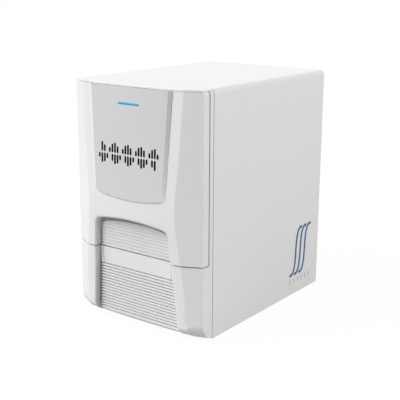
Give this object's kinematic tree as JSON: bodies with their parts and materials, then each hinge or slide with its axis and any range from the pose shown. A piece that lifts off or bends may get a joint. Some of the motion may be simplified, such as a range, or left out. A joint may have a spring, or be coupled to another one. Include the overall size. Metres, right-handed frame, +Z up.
{
  "type": "thermal cycler",
  "caption": "Bench-top box with a bowed white front, grey vent panel, arched louvred intake and a motor-driven plate tray under a heated lid and scanning optics.",
  "frame": {"origin": "on the bench under the middle of the case", "axes": "+Z up, front towards -Y, +X to the right of someone facing the front from behind the case"},
  "size_m": [0.26, 0.3868, 0.408],
  "materials": {
    "case_metal": "white powder coat, fine satin texture",
    "case_plastic": "white moulded plastic, fine satin texture",
    "grey_panel": "silver-grey satin lacquer",
    "dark_plastic": "black moulded plastic",
    "blue_light": "lit blue light guide",
    "circuit_board": "green solder mask",
    "foot_rubber": "black rubber",
    "plated_steel": "zinc-plated sheet and ground steel",
    "motor_black": "black painted motor can",
    "aluminium": "clear anodised",
    "brass": "turned brass",
    "heater_film": "polyimide heater film",
    "cooler_ceramic": "white ceramic plates"
  },
  "bodies": {
    "housing": {"base_pan": "plated_steel", "wrap_cover": "case_metal", "rear_panel": "case_metal", "lower_front_cover": "case_plastic", "upper_front_cover": "case_plastic", "rib_panel": "case_plastic", "intake_grille": "case_plastic", "fascia_panel": "grey_panel", "vent_screen": "dark_plastic", "light_bar": "blue_light", "indicator_board": "circuit_board", "feet": "foot_rubber", "case_screws": "plated_steel", "side_plate_left": "plated_steel", "side_plate_right": "plated_steel", "block_deck": "plated_steel", "guide_posts": "aluminium", "tray_rails": "aluminium", "tray_motor": "motor_black", "screw_bearing": "aluminium", "lift_motor": "motor_black", "lift_bush": "brass", "lid_frame": "dark_plastic", "lid_platen": "aluminium", "lid_heater": "heater_film", "scan_rods": "plated_steel", "scan_brackets": "plated_steel", "scan_motor": "motor_black", "scan_belt": "foot_rubber", "board_shelf": "plated_steel", "main_board": "circuit_board", "power_supply": "plated_steel", "rear_fan_frame": "dark_plastic", "fan_guard": "plated_steel", "power_inlet": "dark_plastic", "usb_port": "plated_steel", "switch_frame": "dark_plastic"},
    "plate_tray": {"tray_front": "case_plastic", "tray_frame": "dark_plastic", "tray_nut": "brass"},
    "tray_screw": {"tray_screw": "plated_steel", "screw_coupling": "aluminium"},
    "lift_module": {"lift_frame": "aluminium", "heat_sink": "aluminium", "peltier_modules": "cooler_ceramic", "sample_block": "aluminium", "block_gasket": "foot_rubber", "lift_nut": "brass", "sink_fan_frame": "dark_plastic"},
    "sink_fan": {"sink_fan_rotor": "dark_plastic"},
    "lift_screw": {"lift_screw": "plated_steel"},
    "scan_head": {"scan_carriage": "dark_plastic", "lens_tubes": "plated_steel"},
    "drive_pulley": {"drive_pulley": "aluminium"},
    "idler_pulley": {"idler_pulley": "aluminium"},
    "rear_fan": {"rear_fan_rotor": "dark_plastic"},
    "power_switch": {"power_rocker": "dark_plastic"}
  },
  "joints": [
    {"name": "tray_slide", "type": "slide", "parent": "housing", "child": "plate_tray", "axis": [0, -1, 0], "range_m": [0, 0.135]},
    {"name": "tray_screw_turn", "type": "hinge", "parent": "housing", "child": "tray_screw", "pos_m": [0.09, 0, 0.112], "axis": [0, 1, 0], "range_deg": [0, 4051]},
    {"name": "block_lift", "type": "slide", "parent": "housing", "child": "lift_module", "axis": [0, 0, 1], "range_m": [0, 0.018]},
    {"name": "lift_screw_turn", "type": "hinge", "parent": "housing", "child": "lift_screw", "pos_m": [-0.092, -0.11008, 0.06], "axis": [0, 0, 1], "range_deg": [0, 1621]},
    {"name": "sink_fan_spin", "type": "hinge", "parent": "lift_module", "child": "sink_fan", "pos_m": [0, -0.05308, 0.0484], "axis": [0, 1, 0], "continuous": true},
    {"name": "scan_slide", "type": "slide", "parent": "housing", "child": "scan_head", "axis": [1, 0, 0], "range_m": [0, 0.099]},
    {"name": "drive_pulley_turn", "type": "hinge", "parent": "housing", "child": "drive_pulley", "pos_m": [0.088, -0.05808, 0.18], "axis": [0, 0, 1], "range_deg": [0, 894]},
    {"name": "idler_pulley_turn", "type": "hinge", "parent": "housing", "child": "idler_pulley", "pos_m": [-0.088, -0.05808, 0.18], "axis": [0, 0, 1], "range_deg": [0, 894]},
    {"name": "rear_fan_spin", "type": "hinge", "parent": "housing", "child": "rear_fan", "pos_m": [0, 0.17642, 0.25], "axis": [0, 1, 0], "continuous": true},
    {"name": "power_switch_rock", "type": "hinge", "parent": "housing", "child": "power_switch", "pos_m": [-0.046, 0.18692, 0.048], "axis": [1, 0, 0], "range_deg": [0, 18]}
  ],
  "couplings": [
    {"joint": "tray_screw_turn", "follows": "tray_slide", "rad_per_m": 523.6},
    {"joint": "lift_screw_turn", "follows": "block_lift", "rad_per_m": 1570.8},
    {"joint": "drive_pulley_turn", "follows": "scan_slide", "rad_per_m": 157.48},
    {"joint": "idler_pulley_turn", "follows": "scan_slide", "rad_per_m": 157.48}
  ]
}
